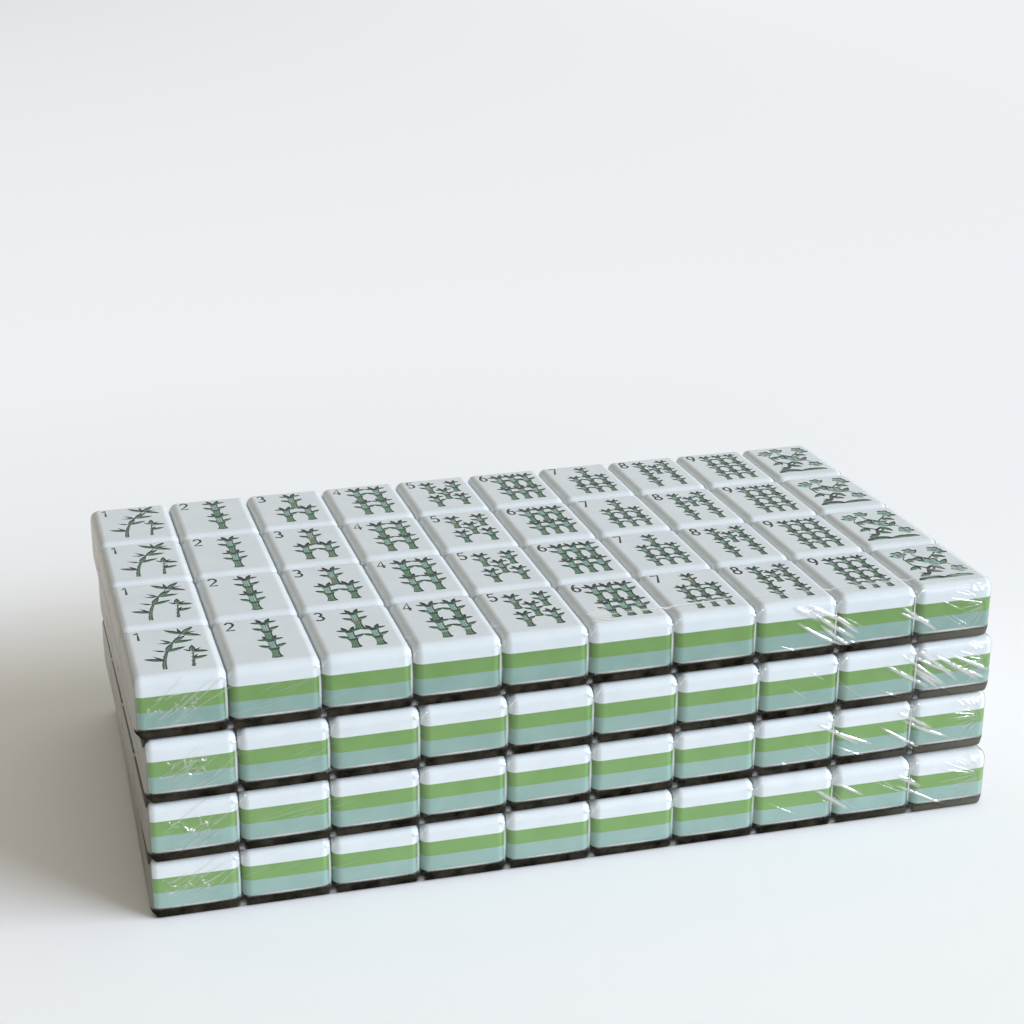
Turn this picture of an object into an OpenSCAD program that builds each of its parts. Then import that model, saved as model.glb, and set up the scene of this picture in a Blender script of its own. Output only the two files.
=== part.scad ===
// Mahjong tiles in shrink-wrapped packs, piled flat one on another.
// Millimetres. X runs along the columns, Y along the rows to the back, Z up.
// The origin is the middle of the lowest pack's underside.

/* [Tile] */
// Width of a tile's face
tile_w = 22.5; // [16:0.5:40]
// Length of a tile's face, from its foot to its head
tile_d = 30; // [20:0.5:56]
// Radius of the rolled edges and corners
edge_r = 2.5; // [0.6:0.1:3]

/* [Plies] */
// Thickness of the white ply that carries the engraved face
face_t = 4.8; // [3:0.1:9]
// Thickness of the green ply under it
green_t = 4; // [1:0.1:8]
// Thickness of the pale aqua ply
aqua_t = 4.2; // [1:0.1:8]
// Thickness of the dark ply that is the tile's back
back_t = 3; // [3:0.1:8]

/* [Pack] */
// Columns of tiles in a pack, one column for each kind of face
columns = 10; // [1:1:11]
// Tiles in a column
rows = 4; // [1:1:6]
// Packs in the pile
packs = 4; // [1:1:4]
// Gap between neighbouring tiles
tile_gap = 0.1; // [0.05:0.05:1]

/* [Wrap] */
// Thickness of the clear film
film_t = 0.1; // [0.05:0.05:0.3]
// Room between the film and the tiles at the pack's four sides
side_slack = 0.3; // [0.1:0.05:1]
// Room between the film and the tiles above and below them
flat_slack = 0.05; // [0.02:0.01:0.3]
// Radius of the half-round bead where the film is sealed
seal_r = 0.3; // [0.1:0.05:0.6]
// Depth to which the film is drawn in over the grooves between the tiles
draw_in = 0.35; // [0.05:0.05:0.4]

/* [Pile] */
// Gap between one pack's film and the next
pack_gap = 0.05; // [0.02:0.01:0.5]
// Share of a tile's width that the worst-placed pack lies off the lowest one
slide_share = 0.085; // [0:0.005:0.2]
// Turn in degrees of the most twisted pack on the lowest one
twist = 1.3; // [0:0.1:3]

/* [Hidden] */
$fn = 48;

// Each pack's place in the pile: shares of the slide along X and Y, and a share of the twist
place_shares = [[0, 0, 0], [-0.47, 0.4, 0.88], [-0.42, 0.25, 1], [-1, 0.8, 0.82]];

// Most of the thinnest outer ply that its rolled edge may take up
roll_share = 0.85;
roll_r = min(edge_r, roll_share * min(face_t, back_t));

// Levels in a pack, measured from its film's underside
back_z = film_t + flat_slack;
aqua_z = back_z + back_t;
green_z = aqua_z + aqua_t;
face_z = green_z + green_t;
tile_top_z = face_z + face_t;
pack_h = tile_top_z + flat_slack + film_t;

column_step = tile_w + tile_gap;
row_step = tile_d + tile_gap;
block_w = columns * column_step - tile_gap;
block_d = rows * row_step - tile_gap;

// The film's outside
wrap_w = block_w + 2 * (side_slack + film_t);
wrap_d = block_d + 2 * (side_slack + film_t);
wrap_r = roll_r + film_t;

// Half width of a valley in the film and the most of its depth, as shares of the rolled edge
valley_shares = [0.75, 0.18];
valley_half_w = valley_shares[0] * roll_r;
valley_depth = min(draw_in, valley_shares[1] * roll_r);
// A valley is a shallow arc of this radius
valley_r = (valley_half_w * valley_half_w + valley_depth * valley_depth) / (2 * valley_depth);

function face_node(pack, column) = str("pack_", pack, "_column_", column, "_faces");

// A quarter of a disc, in the corner where both coordinates are positive
module quarter_disc(r) {
    intersection() {
        circle(r);
        square(r);
    }
}

// Section through the outermost r of a slab of height h, rolled where asked
module rim(h, r, roll_top, roll_bottom) {
    low = roll_bottom ? r : 0;
    high = roll_top ? h - r : h;
    translate([0, low]) square([r, high - low]);
    if (roll_top) translate([0, high]) quarter_disc(r);
    if (roll_bottom) translate([0, low]) mirror([0, 1]) quarter_disc(r);
}

// A slab with rolled corners, whose top and bottom edges are rolled where asked.
// It is a core, four rims pushed along its sides and four rims turned round its corners.
module rolled_slab(w, d, h, r, roll_top = false, roll_bottom = false) {
    core_w = w - 2 * r;
    core_d = d - 2 * r;
    translate([-core_w / 2, -core_d / 2, 0]) cube([core_w, core_d, h]);
    for (turn = [0, 180]) rotate(turn) {
        translate([core_w / 2, core_d / 2, 0]) {
            rotate([90, 0, 0]) linear_extrude(core_d) rim(h, r, roll_top, roll_bottom);
            rotate_extrude(angle = 90) rim(h, r, roll_top, roll_bottom);
        }
        translate([-core_w / 2, core_d / 2, 0]) {
            rotate([90, 0, 90]) linear_extrude(core_w) rim(h, r, roll_top, roll_bottom);
            rotate(90) rotate_extrude(angle = 90) rim(h, r, roll_top, roll_bottom);
        }
    }
}

// A flat plate with round corners
module rounded_plate(w, d, h, r) {
    linear_extrude(h) {
        square([w - 2 * r, d], center = true);
        square([w, d - 2 * r], center = true);
        for (x = [-1, 1], y = [-1, 1]) translate([x * (w / 2 - r), y * (d / 2 - r)]) circle(r);
    }
}

// Sets a pack in its place on the pile
module in_pile(pack) {
    share = place_shares[(pack - 1) % len(place_shares)];
    slide = slide_share * tile_w;
    translate([share[0] * slide, share[1] * slide, (pack - 1) * (pack_h + pack_gap)])
        rotate(share[2] * twist) children();
}

// Repeats a ply down one column of a pack
module in_column(column) {
    x = (column - (columns + 1) / 2) * column_step;
    for (row = [1:rows]) translate([x, (row - (rows + 1) / 2) * row_step, 0]) children();
}

// Repeats a ply for every tile of a pack
module in_columns() {
    for (column = [1:columns]) in_column(column) children();
}

// The white plies of one column, which all carry the same face
module face_plies(pack, column) {
    color("#f2f6f6") in_pile(pack) translate([0, 0, face_z]) in_column(column)
        rolled_slab(tile_w, tile_d, face_t, roll_r, roll_top = true);
}

module green_plies(pack) {
    color("#7fb163") in_pile(pack) translate([0, 0, green_z]) in_columns()
        rounded_plate(tile_w, tile_d, green_t, roll_r);
}

module aqua_plies(pack) {
    color("#93b9b1") in_pile(pack) translate([0, 0, aqua_z]) in_columns()
        rounded_plate(tile_w, tile_d, aqua_t, roll_r);
}

module back_plies(pack) {
    color("#2b2c26") in_pile(pack) translate([0, 0, back_z]) in_columns()
        rolled_slab(tile_w, tile_d, back_t, roll_r, roll_bottom = true);
}

// Round bars that press a valley into the film over one groove, across the top and down both sides.
// The film spans the groove at the rolled edges, and its underside stays flat.
module valley_bars(span, inset) {
    r = valley_r + inset;
    reach = valley_r - valley_depth;
    translate([0, 0, pack_h + reach]) rotate([90, 0, 0]) cylinder(h = span, r = r, center = true);
    for (side = [-1, 1]) translate([0, side * (span / 2 + reach), 0]) cylinder(h = pack_h, r = r);
}

// The wrap's outer form when it is inset by a wall of film, or by nothing
module wrap_form(inset) {
    difference() {
        translate([0, 0, inset])
            rolled_slab(wrap_w - 2 * inset, wrap_d - 2 * inset, pack_h - 2 * inset, wrap_r - inset, true, true);
        for (i = [1:1:columns - 1])
            translate([(i - columns / 2) * column_step, 0, 0]) valley_bars(wrap_d, inset);
        for (i = [1:1:rows - 1])
            translate([0, (i - rows / 2) * row_step, 0]) rotate(90) valley_bars(wrap_w, inset);
    }
}

// Section of the seal, a half-round bead that is rooted half a film deep
module seal_section() {
    intersection() {
        circle(seal_r);
        translate([-film_t / 2, -seal_r]) square([seal_r + film_t / 2, 2 * seal_r]);
    }
}

// The seal runs round both ends and the back, half way up, from one front corner to the other
module seal() {
    side_y = wrap_d / 2 - wrap_r;
    back_x = wrap_w / 2 - wrap_r;
    translate([0, 0, pack_h / 2]) {
        for (side = [0, 1]) mirror([side, 0, 0]) {
            translate([wrap_w / 2, side_y, 0]) rotate([90, 0, 0]) linear_extrude(2 * side_y) seal_section();
            translate([back_x, side_y, 0]) rotate_extrude(angle = 90) translate([wrap_r, 0]) seal_section();
        }
        translate([-back_x, wrap_d / 2, 0]) rotate([90, 0, 90]) linear_extrude(2 * back_x) seal_section();
    }
}

// The clear film, closed all round the tiles of one pack
module film(pack) {
    color([0.86, 0.9, 0.9, 0.3]) in_pile(pack) {
        difference() {
            wrap_form(0);
            wrap_form(film_t);
        }
        seal();
    }
}

for (pack = [1:packs]) {
    back_plies(pack);
    aqua_plies(pack);
    green_plies(pack);
    for (column = [1:columns])
        face_plies(pack, column);
}
for (pack = [1:packs])
    film(pack);
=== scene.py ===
"""Four shrink-wrapped packs of mahjong tiles: carved faces, glossy plies and clear film."""

import math
import random

import bpy
import numpy as np
from mathutils import Matrix, Vector
from mathutils.geometry import delaunay_2d_cdt


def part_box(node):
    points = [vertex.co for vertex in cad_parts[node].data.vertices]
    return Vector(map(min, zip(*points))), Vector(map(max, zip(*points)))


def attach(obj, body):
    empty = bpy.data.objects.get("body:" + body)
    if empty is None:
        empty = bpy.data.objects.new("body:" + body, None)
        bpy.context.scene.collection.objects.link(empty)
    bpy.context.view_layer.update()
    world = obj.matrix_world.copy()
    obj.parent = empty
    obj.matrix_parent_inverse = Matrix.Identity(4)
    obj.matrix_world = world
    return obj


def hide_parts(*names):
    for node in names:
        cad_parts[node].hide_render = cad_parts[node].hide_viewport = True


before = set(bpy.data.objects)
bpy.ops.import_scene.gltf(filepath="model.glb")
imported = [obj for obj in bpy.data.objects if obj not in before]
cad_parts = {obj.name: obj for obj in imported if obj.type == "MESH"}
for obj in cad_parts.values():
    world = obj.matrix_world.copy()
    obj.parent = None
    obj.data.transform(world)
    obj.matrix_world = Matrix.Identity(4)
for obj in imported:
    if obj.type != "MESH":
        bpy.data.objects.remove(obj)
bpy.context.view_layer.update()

MM = 0.001

# The tiles, in millimetres. What isn't typed here is read from the CAD parts in model.glb.
ROWS = 4
COLUMNS = 10
PACKS = 4
ROLL_R = 2.5
BACK_T = 3.0
CARVE_DEPTH = 0.22
ROLL_STEPS = 7
CORNER_STEPS = 7
EDGE_MARGIN = 0.1
WELD = SLIVER = 1e-4
CORNER_SIGNS = ((1, 1), (-1, 1), (-1, -1), (1, -1))
UP = (0, 0, 1)

# The film, in millimetres
FILM_OFF_SIDE = 0.05
FILM_OFF_FLAT = 0.06
FOLD_R = 1.0
VALLEY_HALF_W = 1.6
VALLEY_DEPTH = 0.36
VALLEY_FADE = 3.2
VALLEY_AT_EDGE = 0.25
VALLEY_AT_END = 2.0
RIDGE_LIMIT = 0.34
TOP_RIDGE_LIMIT = 0.09
# How strong the film's milky parts and its painted shade are, and where up a side the painted shade fades
# out
END_VEIL, GROOVE_VEIL, LAST_COLUMN_VEIL = 0.96, 0.35, 0.2
WEB_HALF_W, WEB_Z = 0.8, 0.7
# Painted shadow on the ends of the lower packs, below the pack above
PAINTED_SEAM_SHADOW = 0.5
SHADE_LEVELS = (2.0, 2.7)
# The net's lines over a rolled edge, beside a groove, across a tile and up a side
ROLL_SHARES = (0.17, 0.36, 0.57, 0.79, 1.0)
GROOVE_OFFSETS = (0, 0.3, 0.6, 0.9, 1.2, 1.6, 2.2)
TILE_SHARES = (-0.26, -0.08, 0.08, 0.26)
SHADE_LINES = (1.45, 2.0, 2.55, 2.9, 3.3)
# A wrinkle's points in the net: half widths from its line, and room to the edges and between them
STATION_OFFSETS = (-2.4, -1.6, -1.1, -0.7, -0.35, 0, 0.35, 0.7, 1.1, 1.6, 2.4)
SPOT_MARGIN, SPOT_STEP = 0.12, 0.07
# The wrinkles' seed, and each front's count of long ones
RIDGE_SEED = 400
LONG_STREAKS = {1: 4, 2: 5, 3: 9, 4: 8}

# The camera, fitted to the photograph
CAMERA_AT = (-134.03, -469.99, 254.94)
CAMERA_AZIMUTH, CAMERA_ELEVATION, CAMERA_ROLL = -15.338, 20.249, 0.163
CAMERA_LENS = 66.56
SENSOR_W = 36.0

COOL_LIGHT, WARM_LIGHT = (0.9, 1.0, 1.16), (1.0, 0.93, 0.80, 1)


def node_size(name):
    """A CAD node's lowest corner, highest corner and middle, in millimetres."""
    lo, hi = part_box(name)
    lo, hi = np.array(lo) / MM, np.array(hi) / MM
    return lo, hi, (lo + hi) / 2


# The sizes of a tile and of a pack, from the lowest pack, which lies square
FACE_LO, FACE_HI, FACE_MIDDLE = node_size("pack_1_column_1_faces")
WRAP_LO, WRAP_HI, _ = node_size("pack_1_film")
TILE_W = FACE_HI[0] - FACE_LO[0]
COLUMN_STEP = node_size("pack_1_column_2_faces")[2][0] - FACE_MIDDLE[0]
GAP = COLUMN_STEP - TILE_W
ROW_STEP = (FACE_HI[1] - FACE_LO[1] + GAP) / ROWS
TILE_D = ROW_STEP - GAP
FACE_Z, TOP_Z = FACE_LO[2], FACE_HI[2]
BACK_Z = node_size("pack_1_back_plies")[0][2]
SEAL_H = WRAP_HI[1] + WRAP_LO[1]
# Half the width and depth of a tile's flat top
FLAT_W, FLAT_D = TILE_W / 2 - ROLL_R, TILE_D / 2 - ROLL_R
# The top of the back plies
BACK_TOP = BACK_Z + BACK_T
# The film's rolled edge, half width, half depth, and lowest and highest level
EDGE_R = ROLL_R + FILM_OFF_SIDE
FILM_W = COLUMNS * COLUMN_STEP / 2 - GAP / 2 + FILM_OFF_SIDE
FILM_D = ROWS * ROW_STEP / 2 - GAP / 2 + FILM_OFF_SIDE
FILM_LOW, FILM_HIGH = BACK_Z - FILM_OFF_FLAT, TOP_Z + FILM_OFF_FLAT


def pack_matrix(pack):
    """Where a pack lies in the pile, as a 4 by 4 that takes its own millimetres to metres."""
    first = node_size(f"pack_{pack}_column_1_faces")[2]
    last = node_size(f"pack_{pack}_column_{COLUMNS}_faces")[2]
    along = last - first
    low = node_size(f"pack_{pack}_film")[0][2]
    middle = (first + last) / 2
    place = Matrix.Translation(Vector((middle[0], middle[1], low)) * MM)
    return place @ Matrix.Rotation(math.atan2(along[1], along[0]), 4, "Z") @ Matrix.Scale(MM, 4)


def moved(points, matrix):
    """Points taken through a matrix."""
    m = np.array(matrix)
    return points @ m[:3, :3].T + m[:3, 3]


def unit(vectors, least=WELD):
    """Rows of vectors divided by their length, or by the least if that is more."""
    return vectors / np.maximum(np.linalg.norm(vectors, axis=1), least)[:, None]


def left_of(vectors):
    """Rows of flat vectors turned a quarter to the left."""
    return np.stack([-vectors[:, 1], vectors[:, 0]], axis=1)


# Nodes


def add_node(tree, kind, *numbered, settings=None, **named):
    """A shader node. Its inputs, by number or by name with underscores for spaces, each take a
    value or another node's output."""
    node = tree.nodes.new("ShaderNode" + kind)
    for name, value in (settings or {}).items():
        setattr(node, name, value)
    for key, value in [*enumerate(numbered), *named.items()]:
        socket = node.inputs[key.replace("_", " ") if isinstance(key, str) else key]
        if isinstance(value, bpy.types.NodeSocket):
            tree.links.new(value, socket)
        else:
            socket.default_value = value
    return node


def new_material(name):
    """An empty material and its tree."""
    material = bpy.data.materials.new(name)
    material.use_nodes = True
    material.node_tree.nodes.clear()
    return material, material.node_tree


def object_coords(tree, scale=(1, 1, 1), turn=(0, 0, 0)):
    """Object coordinates, turned and scaled."""
    coords = add_node(tree, "TexCoord").outputs["Object"]
    return add_node(tree, "Mapping", coords, Scale=scale, Rotation=turn).outputs[0]


def noise(tree, vector, scale, detail, roughness=0.5):
    """A noise texture's value."""
    inputs = {"Vector": vector, "Scale": scale, "Detail": detail, "Roughness": roughness}
    return add_node(tree, "TexNoise", **inputs).outputs["Fac"]


def remap(tree, value, low, high, new_low=0, new_high=1):
    """A value taken from one range to another, and held there."""
    return add_node(tree, "MapRange", value, low, high, new_low, new_high).outputs[0]


def maths(tree, operation, first, second):
    """The result of one operation on two values."""
    return add_node(tree, "Math", first, second, settings={"operation": operation}).outputs[0]


def sum_of(tree, first, second, share, clamp=False):
    """One value plus a share of another."""
    settings = {"operation": "MULTIPLY_ADD", "use_clamp": clamp}
    return add_node(tree, "Math", second, share, first, settings=settings).outputs[0]


def mix_colours(tree, factor, first, second):
    """A colour between two, by a value. Each is three numbers or another node's output."""
    first, second = ((*c, 1) if isinstance(c, tuple) else c for c in (first, second))
    mix = add_node(tree, "Mix", settings={"data_type": "RGBA"}, A=first, B=second, Factor=factor)
    return mix.outputs["Result"]


def mix_shaders(tree, factor, first, second):
    """A shader between two, by a value."""
    return add_node(tree, "MixShader", factor, first.outputs[0], second.outputs[0])


def bump(tree, height, distance, strength):
    """A bump from a height, in metres."""
    return add_node(tree, "Bump", Height=height, Distance=distance, Strength=strength).outputs[0]


def attribute(tree, name):
    """A number that a mesh carries at its points."""
    return add_node(tree, "Attribute", settings={"attribute_name": name}).outputs["Fac"]


def part_of(tree, vector, axis):
    """One coordinate of a vector."""
    return add_node(tree, "SeparateXYZ", vector).outputs[axis]


def place_along(tree, axis, low, high):
    """How far a place in the object lies from one level, in metres, to another: 0 to 1."""
    coords = add_node(tree, "TexCoord").outputs["Object"]
    return remap(tree, part_of(tree, coords, axis), low, high)


def acrylic(name, dark, light, roughness, coords_scale=(1, 1, 1), patch=160.0, gloss=0.5, painted_light_share=0.7):
    """A polished cast plastic, with faint clouds and orange peel, and painted lighter down the pile: painted
    light standing in for the light the floor throws onto the lower packs.
    """
    material, tree = new_material(name)
    coords = object_coords(tree, coords_scale)
    clouds = remap(tree, noise(tree, coords, patch, 3.0), 0.3, 0.7, 0, 1 - painted_light_share)
    # Painted light: besides the random clouds, the colour runs lighter the lower it lies
    clouds_and_painted_light = sum_of(tree, clouds, place_along(tree, "Z", 0.06, 0.006), painted_light_share)
    haze = noise(tree, coords, patch * 3, 2.0)
    peel = noise(tree, object_coords(tree), 420.0, 1.0)
    shader = add_node(
        tree,
        "BsdfPrincipled",
        mix_colours(tree, clouds_and_painted_light, dark, light),
        Roughness=remap(tree, haze, 0.3, 0.7, roughness * 0.92, roughness * 1.08),
        IOR=1.49,
        Specular_IOR_Level=gloss,
        Normal=bump(tree, peel, 0.00002, 0.25),
    )
    add_node(tree, "OutputMaterial", shader.outputs[0])
    return material


def face_material():
    return acrylic("face_ply_white", (0.66, 0.715, 0.74), (0.80, 0.845, 0.86), 0.3, gloss=0.2)


def green_material():
    return acrylic("green_ply_leaf", (0.145, 0.287, 0.074), (0.23, 0.405, 0.135), 0.17)


def aqua_material():
    return acrylic("aqua_ply_pale", (0.205, 0.338, 0.298), (0.34, 0.5, 0.452), 0.17)


def back_material():
    """The dark ply, with upright brown streaks like horn."""
    dark, light = (0.004, 0.0035, 0.0025), (0.03, 0.025, 0.017)
    return acrylic("back_ply_dark", dark, light, 0.3, (1, 1, 0.12), 420.0, 0.0, 0.0)


def paint(name, colour, worn):
    """Enamel rubbed into a carved line, thinner in places."""
    material, tree = new_material(name)
    wear = remap(tree, noise(tree, object_coords(tree), 900.0, 3.0, 0.6), 0.45, 0.75)
    tint = mix_colours(tree, wear, colour, worn)
    shader = add_node(tree, "BsdfPrincipled", tint, Roughness=0.45, Specular_IOR_Level=0.15)
    add_node(tree, "OutputMaterial", shader.outputs[0])
    return material


def film_material():
    """Clear shrink film: mostly see-through, with painted highlights on its creases, milky where it gathers,
    and painted dark as painted shade where it turns under a pack and over the back plies.
    """
    material, tree = new_material("clear_shrink_film")
    crease_sheen, veil, shade = (attribute(tree, name) for name in ("crease_sheen", "veil", "shade"))
    waves = noise(tree, object_coords(tree, (1, 1, 1.4), (0.2, 0.7, 0.1)), 170.0, 3.0)
    normal = bump(tree, waves, 0.00012, remap(tree, veil, 0, 0.6, 0.5, 0.02))
    facing = add_node(tree, "LayerWeight", Blend=0.5, Normal=normal).outputs["Facing"]
    haze = noise(tree, object_coords(tree, (1, 1, 1), (0.0, 0.6, 0.3)), 90.0, 4.0)
    gathers = noise(tree, object_coords(tree, (1, 0.35, 1)), 260.0, 3.0)
    thick = maths(tree, "MULTIPLY", remap(tree, gathers, 0.3, 0.7, 0.98, 1.0), veil)
    cover = remap(tree, haze, 0.35, 0.75, 0.01, 0.03)
    cover = sum_of(tree, cover, maths(tree, "POWER", facing, 5.5), 0.5)
    # Painted highlights: creases cover more of the clear film with mirror, and with plain white on upward
    # faces
    for value, share in ((crease_sheen, 0.85), (shade, 0.95), (thick, 1.0)):
        cover = sum_of(tree, cover, value, share, clamp=True)
    dull = sum_of(tree, veil, shade, 3.0, clamp=True)
    # Painted shade: the milky colour is darker towards the front and bottom and lighter towards the back and
    # top
    place = sum_of(tree, place_along(tree, "Z", 0.0, 0.065), place_along(tree, "Y", -0.05, 0.06), 1.0)
    painted_light_place = remap(tree, place, 0.2, 1.8)
    milk_and_painted_shade = mix_colours(tree, painted_light_place, (0.27, 0.255, 0.21), (0.82, 0.81, 0.77))
    tint = mix_colours(tree, remap(tree, veil, 0, 0.6), (0.97, 0.98, 0.98), milk_and_painted_shade)
    # Painted shade: where the film is marked shade it is painted near black with horn-like streaks, lighter
    # towards the right end, and reflects nothing
    horn = remap(tree, gathers, 0.35, 0.65)
    dark = mix_colours(tree, horn, (0.008, 0.007, 0.004), (0.042, 0.037, 0.026))
    dark = mix_colours(tree, place_along(tree, "X", 0.072, 0.108), dark, (0.13, 0.125, 0.098))
    # On upward faces the creases get plain white instead of mirror: painted highlight
    upward = part_of(tree, add_node(tree, "NewGeometry").outputs["Normal"], "Z")
    upright = remap(tree, upward, 0.6, 0.9, 1, 0)
    gloss = add_node(
        tree,
        "BsdfPrincipled",
        mix_colours(tree, remap(tree, shade, 0, 0.15), tint, dark),
        Metallic=maths(tree, "MULTIPLY", remap(tree, dull, 0, 0.3, 1, 0), upright),
        Specular_IOR_Level=remap(tree, shade, 0, 1, 0.5, 0),
        Roughness=sum_of(tree, remap(tree, crease_sheen, 0, 1, 0.09, 0.2), dull, 0.35),
        Normal=normal,
    )
    mix = mix_shaders(tree, cover, add_node(tree, "BsdfTransparent"), gloss)
    add_node(tree, "OutputMaterial", mix.outputs[0])
    return material


# Shapes for carving, in millimetres on a tile's flat top. Y points to the tile's head.

DARK, LEAF, AQUA, RUST, BARE = "dark", "leaf", "aqua", "rust", "bare"
MITRE_LIMIT, TAPER_TO = 0.3, 0.25


def area(outline):
    """Signed area of an outline, positive if it runs anticlockwise."""
    p = np.array(outline)
    q = np.roll(p, -1, axis=0)
    return 0.5 * float(np.sum(p[:, 0] * q[:, 1] - q[:, 0] * p[:, 1]))


def fill(colour, outline):
    """One filled shape."""
    return [(colour, outline if area(outline) > 0 else outline[::-1])]


def bow(x, y, rx, ry, start, end, steps=10):
    """Points along part of an ellipse, between two angles in degrees."""
    angles = [math.radians(start + (end - start) * i / steps) for i in range(steps + 1)]
    return [(x + rx * math.cos(a), y + ry * math.sin(a)) for a in angles]


def oval(x, y, rx, ry, steps=16):
    """Points round an ellipse."""
    return bow(x, y, rx, ry, 0, 360, steps)[:-1]


def stroke(line, width, colour=DARK, closed=False, taper=False):
    """A line of some width, as a chain of triangles."""
    p = np.array(line, float)
    if closed:
        ahead, behind = np.roll(p, -1, axis=0), np.roll(p, 1, axis=0)
    else:
        ahead = np.vstack([p[1:], 2 * p[-1] - p[-2]])
        behind = np.vstack([2 * p[0] - p[1], p[:-1]])
    side = unit(left_of(unit(p - behind) + unit(ahead - p)), MITRE_LIMIT)
    half = np.full(len(p), width / 2)
    if taper:
        half *= np.linspace(1, TAPER_TO, len(p))
    left, right = p + side * half[:, None], p - side * half[:, None]
    shapes = []
    for i in range(len(p) if closed else len(p) - 1):
        j = (i + 1) % len(p)
        for outline in ((right[i], right[j], left[j]), (right[i], left[j], left[i])):
            if abs(area(outline)) > SLIVER:
                shapes += fill(colour, [tuple(p) for p in outline])
    return shapes


def leaf_ring(height, count, leaf_w, rx, ry, turns):
    """Leaves round an ellipse, with their width and its radii as shares of the height."""
    shapes = []
    green = leaf(0.2 * height, leaf_w * height, 0.24)
    for i in range(count):
        degrees = 360 / count * i
        a = math.radians(degrees)
        x, y = rx * height * math.cos(a), ry * height * math.sin(a)
        shapes += placed(green, x, y, degrees + turns[i % len(turns)])
    return shapes


def ringed(colour, outline, width):
    """A filled shape in a dark outline."""
    return fill(colour, outline) + stroke(outline, width, closed=True)


def placed(shapes, x=0.0, y=0.0, angle=0.0, scale=1.0):
    """Shapes turned, scaled and moved."""
    c, s = math.cos(math.radians(angle)) * scale, math.sin(math.radians(angle)) * scale
    return [(k, [(x + c * a - s * b, y + s * a + c * b) for a, b in o]) for k, o in shapes]


def leaf(length, width, line=0.2, colour=LEAF):
    """A pointed leaf that starts at the origin and lies along X, with its middle vein."""
    steps = 7
    t = [i / steps for i in range(steps + 1)]
    upper = [(length * a, width / 2 * math.sin(math.pi * a**0.8)) for a in t]
    lower = [(a, -0.8 * b) for a, b in upper[-2:0:-1]]
    vein = [(length * 0.1, 0), (length * 0.75, 0)]
    return ringed(colour, upper + lower, line) + stroke(vein, line * 0.7)


def blade(length, width):
    """A plain dark leaf, cut with one stroke."""
    return fill(DARK, [(0, 0), (0.35 * length, -0.4 * width), (length, 0), (0.4 * length, 0.6 * width)])


def numeral(digit, height, width, line):
    """A plain number, drawn with one pen."""
    pens = {
        1: [[(0.2, 0.78), (0.55, 1.0), (0.55, 0.0)]],
        2: [bow(0.5, 0.71, 0.42, 0.29, 165, -35) + [(0.05, 0.0), (0.98, 0.0)]],
        3: [bow(0.45, 0.76, 0.38, 0.24, 150, -80, 8) + bow(0.45, 0.26, 0.47, 0.26, 80, -150, 9)],
        4: [[(0.72, 0.0), (0.72, 1.0), (0.03, 0.3), (1.0, 0.3)]],
        5: [[(0.9, 1.0), (0.22, 1.0), (0.13, 0.56)] + bow(0.45, 0.31, 0.45, 0.31, 115, -150, 10)],
        6: [bow(0.95, 0.3, 0.85, 0.7, 110, 178, 6), oval(0.5, 0.29, 0.41, 0.29, 14)],
        7: [[(0.03, 1.0), (0.95, 1.0), (0.35, 0.0)]],
        8: [oval(0.5, 0.76, 0.34, 0.24, 14), oval(0.5, 0.26, 0.44, 0.26, 14)],
        9: [oval(0.5, 0.71, 0.41, 0.29, 14), bow(0.05, 0.7, 0.85, 0.7, -2, -70, 6)],
    }
    closed = {6: (1,), 8: (0, 1), 9: (0,)}
    shapes = []
    for i, pen in enumerate(pens[digit]):
        points = [(width * a, height * b) for a, b in pen]
        shapes += stroke(points, line, closed=i in closed.get(digit, ()))
    return shapes


# Where a suit's signs stand, as shares of the carved field's half width and half height
LAYOUT_SHARES = {
    2: [(0, 0.52), (0, -0.52)],
    3: [(0, 0.54), (-0.5, -0.5), (0.5, -0.5)],
    4: [(x, y) for y in (0.52, -0.52) for x in (-0.48, 0.48)],
    5: [(-0.62, 0.56), (0.62, 0.56), (0, 0), (-0.62, -0.56), (0.62, -0.56)],
    6: [(x, y) for y in (0.52, -0.52) for x in (-0.66, 0, 0.66)],
    7: [(0, 0.72)] + [(x, y) for y in (0.02, -0.7) for x in (-0.66, 0, 0.66)],
    8: [(x, y) for y in (0.7, 0, -0.7) for x in (-0.6, 0.6) if y or x < 0] + [(0.6, 0), (0, 0.35)],
    9: [(x, y) for y in (0.7, 0, -0.7) for x in (-0.66, 0, 0.66)],
}
# How tall a sign may be for each number, as a share of the field's height
SIGN_SHARES = {2: 0.49, 3: 0.47, 4: 0.47, 5: 0.37, 6: 0.44, 7: 0.31, 8: 0.31, 9: 0.31}
# The room across for a sign that is as wide as it is tall
SIGN_ROOM = {2: 11.0, 3: 6.2, 4: 5.9, 5: 5.6, 6: 4.0, 7: 4.0, 8: 5.2, 9: 4.0}
FIELD_W, FIELD_H = 12.4, 20.5
FIELD_X, FIELD_Y = 1.3, -0.7
# The height of the last column's design, and the number's size, pen and place
LAST_H = 24.0
NUMBER_H, NUMBER_W, NUMBER_PEN = 4.8, 2.3, 0.68
NUMBER_IN, NUMBER_DOWN = 0.35, 5.2


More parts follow.
